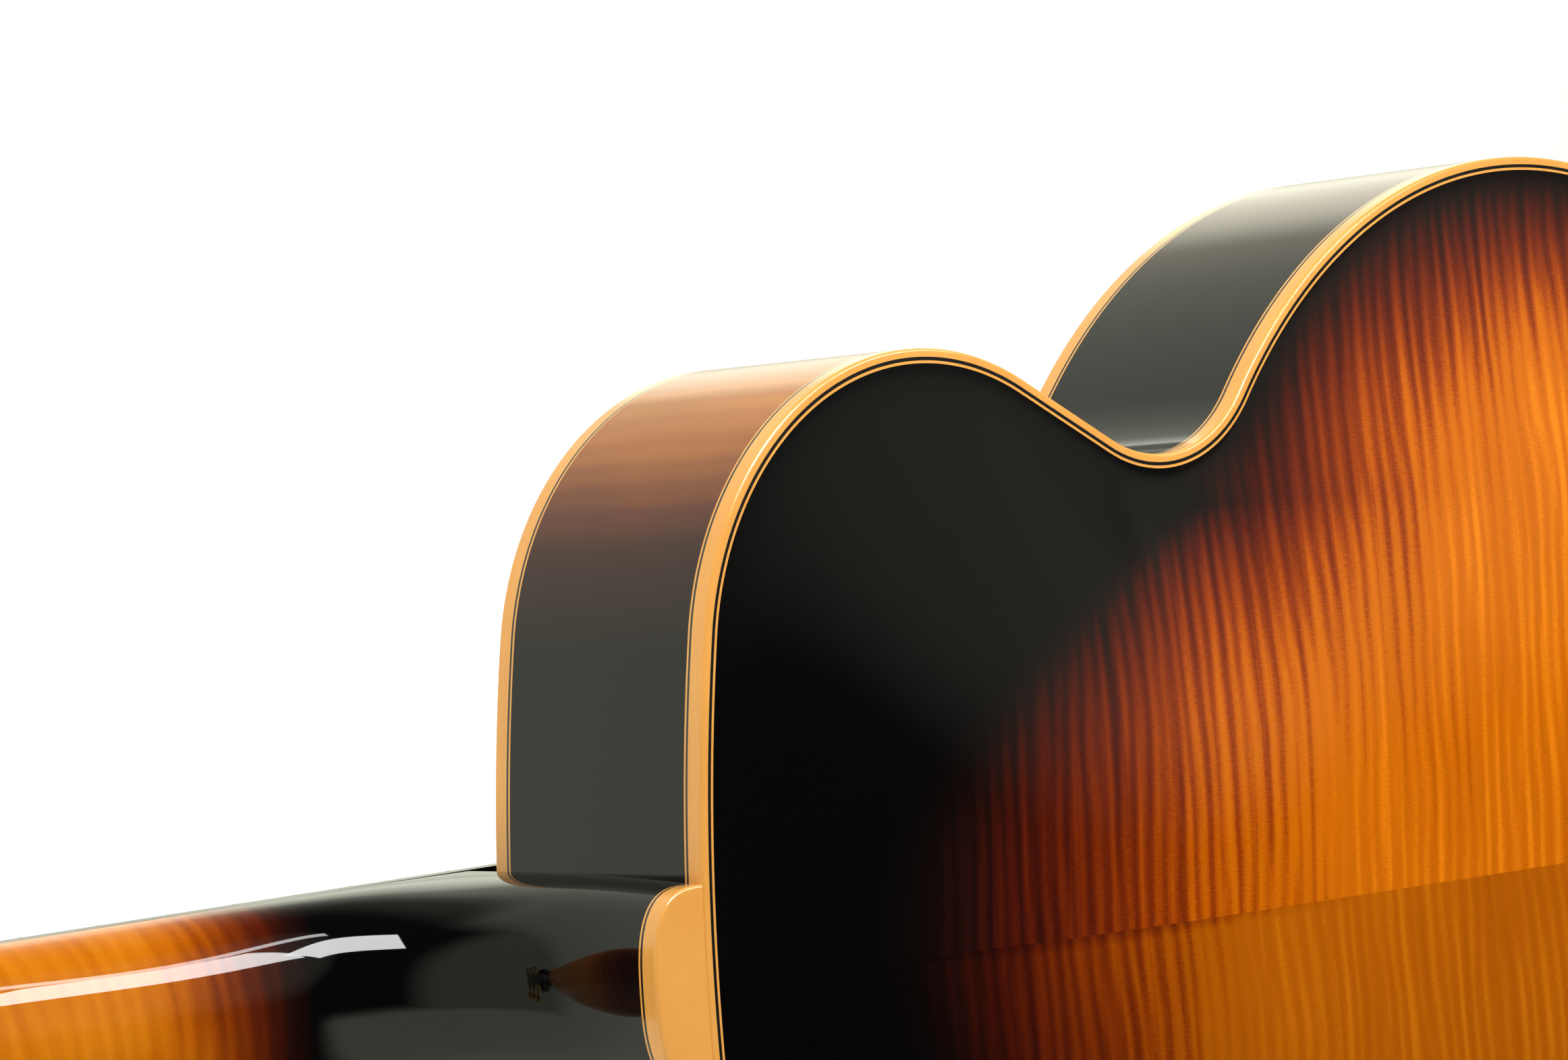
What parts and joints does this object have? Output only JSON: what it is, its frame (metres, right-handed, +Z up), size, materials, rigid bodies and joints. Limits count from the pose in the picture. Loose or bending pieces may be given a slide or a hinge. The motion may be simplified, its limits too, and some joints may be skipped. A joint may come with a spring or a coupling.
{
  "type": "archtop guitar",
  "caption": "Hollow archtop guitar with carved arched plates, f-shaped sound holes, bound edges, an adjustable bridge, a tailpiece, geared tuners and a raised pickguard.",
  "frame": {"origin": "centre of the nut's inner edge on the neck's glue plane, where a hanger's yoke holds the headstock", "axes": "+Z up the neck to the headstock, +Y to the back, +X to the treble side"},
  "size_m": [0.432, 0.1498, 1.0831],
  "materials": {
    "maple_back": "flamed maple under glossy sunburst lacquer",
    "maple_rim": "flamed maple under glossy sunburst lacquer",
    "maple_neck": "flamed maple under glossy sunburst lacquer",
    "spruce_top": "straight-grained spruce under glossy sunburst lacquer",
    "ivory_plastic": "polished aged ivory",
    "black_plastic": "polished black",
    "inner_wood": "bare sanded wood",
    "ebony": "oiled ebony",
    "pearl": "pearl",
    "bone": "polished bone",
    "fret_wire": "polished nickel silver",
    "rod_steel": "plain steel",
    "gold_metal": "gold plated",
    "wound_string": "bronze wound",
    "plain_string": "bright steel"
  },
  "bodies": {
    "guitar": {"back_plate_bass": "maple_back", "back_plate_treble": "maple_back", "rim_bass": "maple_rim", "rim_treble": "maple_rim", "neck": "maple_neck", "top_plate_bass": "spruce_top", "top_plate_treble": "spruce_top", "back_binding": "ivory_plastic", "top_binding": "ivory_plastic", "binding_ivory_lines": "ivory_plastic", "heel_cap": "ivory_plastic", "binding_black_lines": "black_plastic", "fingerboard_binding": "black_plastic", "back_linings": "inner_wood", "top_linings": "inner_wood", "neck_block": "inner_wood", "tail_block": "inner_wood", "tone_bars": "inner_wood", "fingerboard": "ebony", "bridge_base": "ebony", "tailpiece": "ebony", "pickguard": "ebony", "headstock_overlay": "ebony", "truss_rod_cover": "ebony", "fret_markers": "pearl", "nut": "bone", "frets": "fret_wire", "truss_rod": "rod_steel", "tuner_housings": "gold_metal", "tuner_bushings": "gold_metal", "tuner_screws": "gold_metal", "cover_screws": "gold_metal", "bridge_studs": "gold_metal", "tail_bracket": "gold_metal", "bracket_screws": "gold_metal", "end_pin": "gold_metal", "pickguard_bracket": "gold_metal", "strings_wound": "wound_string", "strings_plain": "plain_string"},
    "button_1": {"tuner_button_1": "gold_metal"},
    "post_1": {"tuner_post_1": "gold_metal"},
    "button_2": {"tuner_button_2": "gold_metal"},
    "post_2": {"tuner_post_2": "gold_metal"},
    "button_3": {"tuner_button_3": "gold_metal"},
    "post_3": {"tuner_post_3": "gold_metal"},
    "button_4": {"tuner_button_4": "gold_metal"},
    "post_4": {"tuner_post_4": "gold_metal"},
    "button_5": {"tuner_button_5": "gold_metal"},
    "post_5": {"tuner_post_5": "gold_metal"},
    "button_6": {"tuner_button_6": "gold_metal"},
    "post_6": {"tuner_post_6": "gold_metal"},
    "saddle": {"bridge_saddle": "ebony"},
    "wheel_bass": {"thumbwheel_bass": "gold_metal"},
    "wheel_treble": {"thumbwheel_treble": "gold_metal"},
    "truss_nut": {"truss_rod_nut": "rod_steel"}
  },
  "joints": [
    {"name": "tuner_turn_1", "type": "hinge", "parent": "guitar", "child": "button_1", "pos_m": [-0.033, 0.03388, 0.04509], "axis": [-1, 0, 0], "continuous": true},
    {"name": "post_turn_1", "type": "hinge", "parent": "guitar", "child": "post_1", "pos_m": [-0.025, 0.01333, 0.04493], "axis": [0, 0.9511, -0.309], "continuous": true, "deforming": ["strings_wound"]},
    {"name": "tuner_turn_2", "type": "hinge", "parent": "guitar", "child": "button_2", "pos_m": [-0.033, 0.04655, 0.08408], "axis": [-1, 0, 0], "continuous": true},
    {"name": "post_turn_2", "type": "hinge", "parent": "guitar", "child": "post_2", "pos_m": [-0.025, 0.026, 0.08393], "axis": [0, 0.9511, -0.309], "continuous": true, "deforming": ["strings_wound"]},
    {"name": "tuner_turn_3", "type": "hinge", "parent": "guitar", "child": "button_3", "pos_m": [-0.033, 0.05922, 0.12308], "axis": [-1, 0, 0], "continuous": true},
    {"name": "post_turn_3", "type": "hinge", "parent": "guitar", "child": "post_3", "pos_m": [-0.025, 0.03867, 0.12292], "axis": [0, 0.9511, -0.309], "continuous": true, "deforming": ["strings_wound"]},
    {"name": "tuner_turn_4", "type": "hinge", "parent": "guitar", "child": "button_4", "pos_m": [0.033, 0.05922, 0.12308], "axis": [1, 0, 0], "continuous": true},
    {"name": "post_turn_4", "type": "hinge", "parent": "guitar", "child": "post_4", "pos_m": [0.025, 0.03867, 0.12292], "axis": [0, 0.9511, -0.309], "continuous": true, "deforming": ["strings_wound"]},
    {"name": "tuner_turn_5", "type": "hinge", "parent": "guitar", "child": "button_5", "pos_m": [0.033, 0.04655, 0.08408], "axis": [1, 0, 0], "continuous": true},
    {"name": "post_turn_5", "type": "hinge", "parent": "guitar", "child": "post_5", "pos_m": [0.025, 0.026, 0.08393], "axis": [0, 0.9511, -0.309], "continuous": true, "deforming": ["strings_plain"]},
    {"name": "tuner_turn_6", "type": "hinge", "parent": "guitar", "child": "button_6", "pos_m": [0.033, 0.03388, 0.04509], "axis": [1, 0, 0], "continuous": true},
    {"name": "post_turn_6", "type": "hinge", "parent": "guitar", "child": "post_6", "pos_m": [0.025, 0.01333, 0.04493], "axis": [0, 0.9511, -0.309], "continuous": true, "deforming": ["strings_plain"]},
    {"name": "saddle_lift", "type": "slide", "parent": "guitar", "child": "saddle", "axis": [0, -1, 0], "range_m": [-0.00101, 0.00401], "deforming": ["strings_wound", "strings_plain"]},
    {"name": "wheel_turn_bass", "type": "hinge", "parent": "saddle", "child": "wheel_bass", "pos_m": [-0.037, -0.043, -0.64532], "axis": [0, -1, 0], "range_deg": [-450, 1800]},
    {"name": "wheel_turn_treble", "type": "hinge", "parent": "saddle", "child": "wheel_treble", "pos_m": [0.037, -0.043, -0.64532], "axis": [0, -1, 0], "range_deg": [-455, 1805]},
    {"name": "truss_nut_turn", "type": "hinge", "parent": "guitar", "child": "truss_nut", "pos_m": [0, 0.00775, 0.01048], "axis": [0, 0.0698, 0.9976], "range_deg": [-180, 180]}
  ],
  "couplings": [
    {"joint": "post_turn_1", "follows": "tuner_turn_1", "ratio": -0.066667},
    {"joint": "post_turn_2", "follows": "tuner_turn_2", "ratio": -0.066667},
    {"joint": "post_turn_3", "follows": "tuner_turn_3", "ratio": -0.066667},
    {"joint": "post_turn_4", "follows": "tuner_turn_4", "ratio": 0.066667},
    {"joint": "post_turn_5", "follows": "tuner_turn_5", "ratio": 0.066667},
    {"joint": "post_turn_6", "follows": "tuner_turn_6", "ratio": 0.066667},
    {"joint": "saddle_lift", "follows": "wheel_turn_bass", "m_per_rad": 0.00012732},
    {"joint": "wheel_turn_treble", "follows": "wheel_turn_bass", "ratio": 1}
  ]
}
